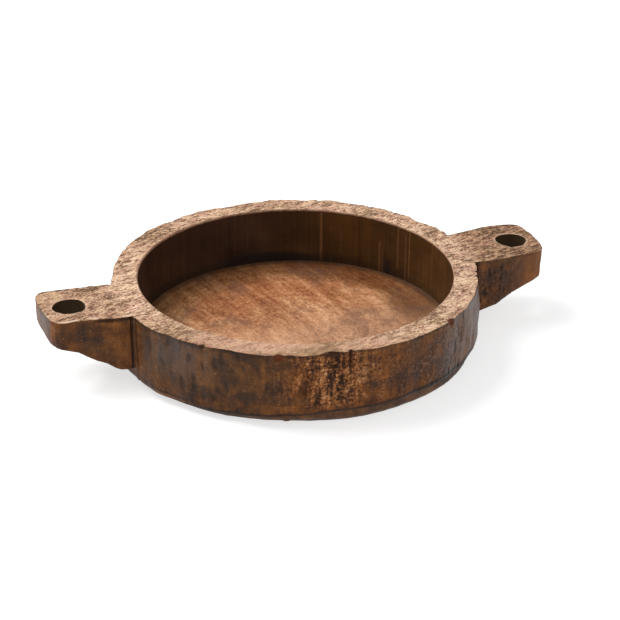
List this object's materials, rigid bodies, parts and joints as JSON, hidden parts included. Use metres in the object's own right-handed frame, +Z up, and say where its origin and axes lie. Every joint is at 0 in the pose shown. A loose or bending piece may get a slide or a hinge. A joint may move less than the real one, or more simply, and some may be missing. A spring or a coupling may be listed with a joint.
{
  "type": "two-handled wooden bowl",
  "caption": "Shallow round bowl of carved wood with a separate base board and two flat ear handles with round grip holes.",
  "frame": {"origin": "on the underside of the base, at the middle of the overall length and width", "axes": "+X along the handles, +Z up out of the bowl, +Y across"},
  "size_m": [0.3492, 0.2476, 0.0508],
  "materials": {
    "wall_wood": "adzed and waxed, dark sides under a paler worn rim",
    "base_wood": "turned floor, warm brown, darker towards its edge",
    "handle_wood": "adzed top, smooth dark sides",
    "dowel_wood": "plain, unseen",
    "peg_wood": "plain, end grain showing underneath"
  },
  "bodies": {
    "root": {"base_board": "base_wood", "wall_ring": "wall_wood", "handle_left": "handle_wood", "handle_right": "handle_wood", "handle_dowel_left_1": "dowel_wood", "handle_dowel_left_2": "dowel_wood", "handle_dowel_right_1": "dowel_wood", "handle_dowel_right_2": "dowel_wood", "base_peg_1": "peg_wood", "base_peg_2": "peg_wood", "base_peg_3": "peg_wood", "base_peg_4": "peg_wood", "base_peg_5": "peg_wood", "base_peg_6": "peg_wood", "base_peg_7": "peg_wood", "base_peg_8": "peg_wood"}
  },
  "joints": []
}
